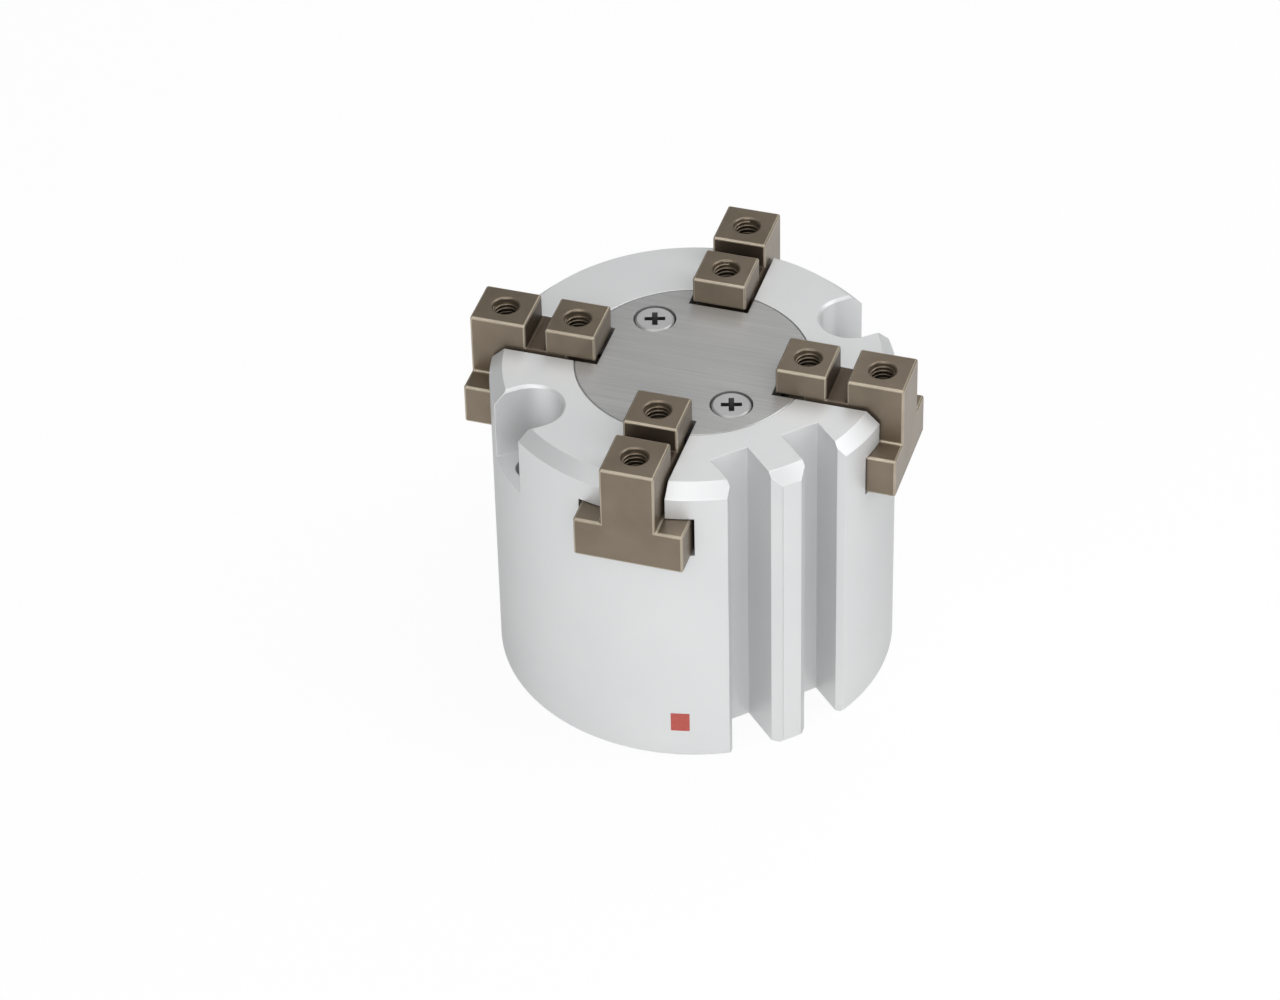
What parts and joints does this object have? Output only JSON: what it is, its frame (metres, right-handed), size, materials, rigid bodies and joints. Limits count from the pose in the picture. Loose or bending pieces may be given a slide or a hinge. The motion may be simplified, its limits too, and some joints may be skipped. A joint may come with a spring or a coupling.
{
  "type": "four-finger pneumatic gripper",
  "caption": "Round pneumatic gripper whose fingers slide radially in T-slots, driven together by a piston and wedge cam, with tapped jaw pads and sensor grooves.",
  "frame": {"origin": "centre of the mounting face at the bottom of the body", "axes": "+Z along the body towards the fingers, +X along one finger and +Y along the next"},
  "size_m": [0.0684, 0.0684, 0.0575],
  "materials": {
    "anodised_body": "satin clear anodised, fine turning marks",
    "cover_grey": "satin grey, faintly brushed",
    "finger_steel": "hardened and ground, warm grey-brown with bright edges",
    "screw_steel": "zinc plated",
    "bright_steel": "ground",
    "spring_steel": "phosphated",
    "cam_steel": "hardened and ground",
    "turned_aluminium": "turned",
    "seal_rubber": "greased",
    "magnet_black": "bonded magnet"
  },
  "bodies": {
    "housing": {"body": "anodised_body", "cover_plate": "cover_grey", "cover_screw_front": "screw_steel", "cover_screw_back": "screw_steel", "cover_dowel_right": "bright_steel", "cover_dowel_left": "bright_steel", "end_cap": "turned_aluminium", "end_cap_seal": "seal_rubber", "retaining_ring": "spring_steel", "rod_seal": "seal_rubber"},
    "piston_group": {"piston": "turned_aluminium", "piston_seal": "seal_rubber", "magnet_ring": "magnet_black", "piston_rod": "bright_steel", "piston_screw": "screw_steel", "wedge_cam": "cam_steel", "cam_screw": "screw_steel"},
    "finger_right": {"finger_right": "finger_steel"},
    "finger_back": {"finger_back": "finger_steel"},
    "finger_left": {"finger_left": "finger_steel"},
    "finger_front": {"finger_front": "finger_steel"}
  },
  "joints": [
    {"name": "piston_slide", "type": "slide", "parent": "housing", "child": "piston_group", "axis": [0, 0, 1], "range_m": [-0.006, 0]},
    {"name": "finger_right_slide", "type": "slide", "parent": "housing", "child": "finger_right", "axis": [1, 0, 0], "range_m": [-0.004, 0]},
    {"name": "finger_back_slide", "type": "slide", "parent": "housing", "child": "finger_back", "axis": [0, 1, 0], "range_m": [-0.004, 0]},
    {"name": "finger_left_slide", "type": "slide", "parent": "housing", "child": "finger_left", "axis": [-1, 0, 0], "range_m": [-0.004, 0]},
    {"name": "finger_front_slide", "type": "slide", "parent": "housing", "child": "finger_front", "axis": [0, -1, 0], "range_m": [-0.004, 0]}
  ],
  "couplings": [
    {"joint": "finger_right_slide", "follows": "piston_slide", "ratio": 0.66666},
    {"joint": "finger_back_slide", "follows": "piston_slide", "ratio": 0.66666},
    {"joint": "finger_left_slide", "follows": "piston_slide", "ratio": 0.66666},
    {"joint": "finger_front_slide", "follows": "piston_slide", "ratio": 0.66666}
  ]
}
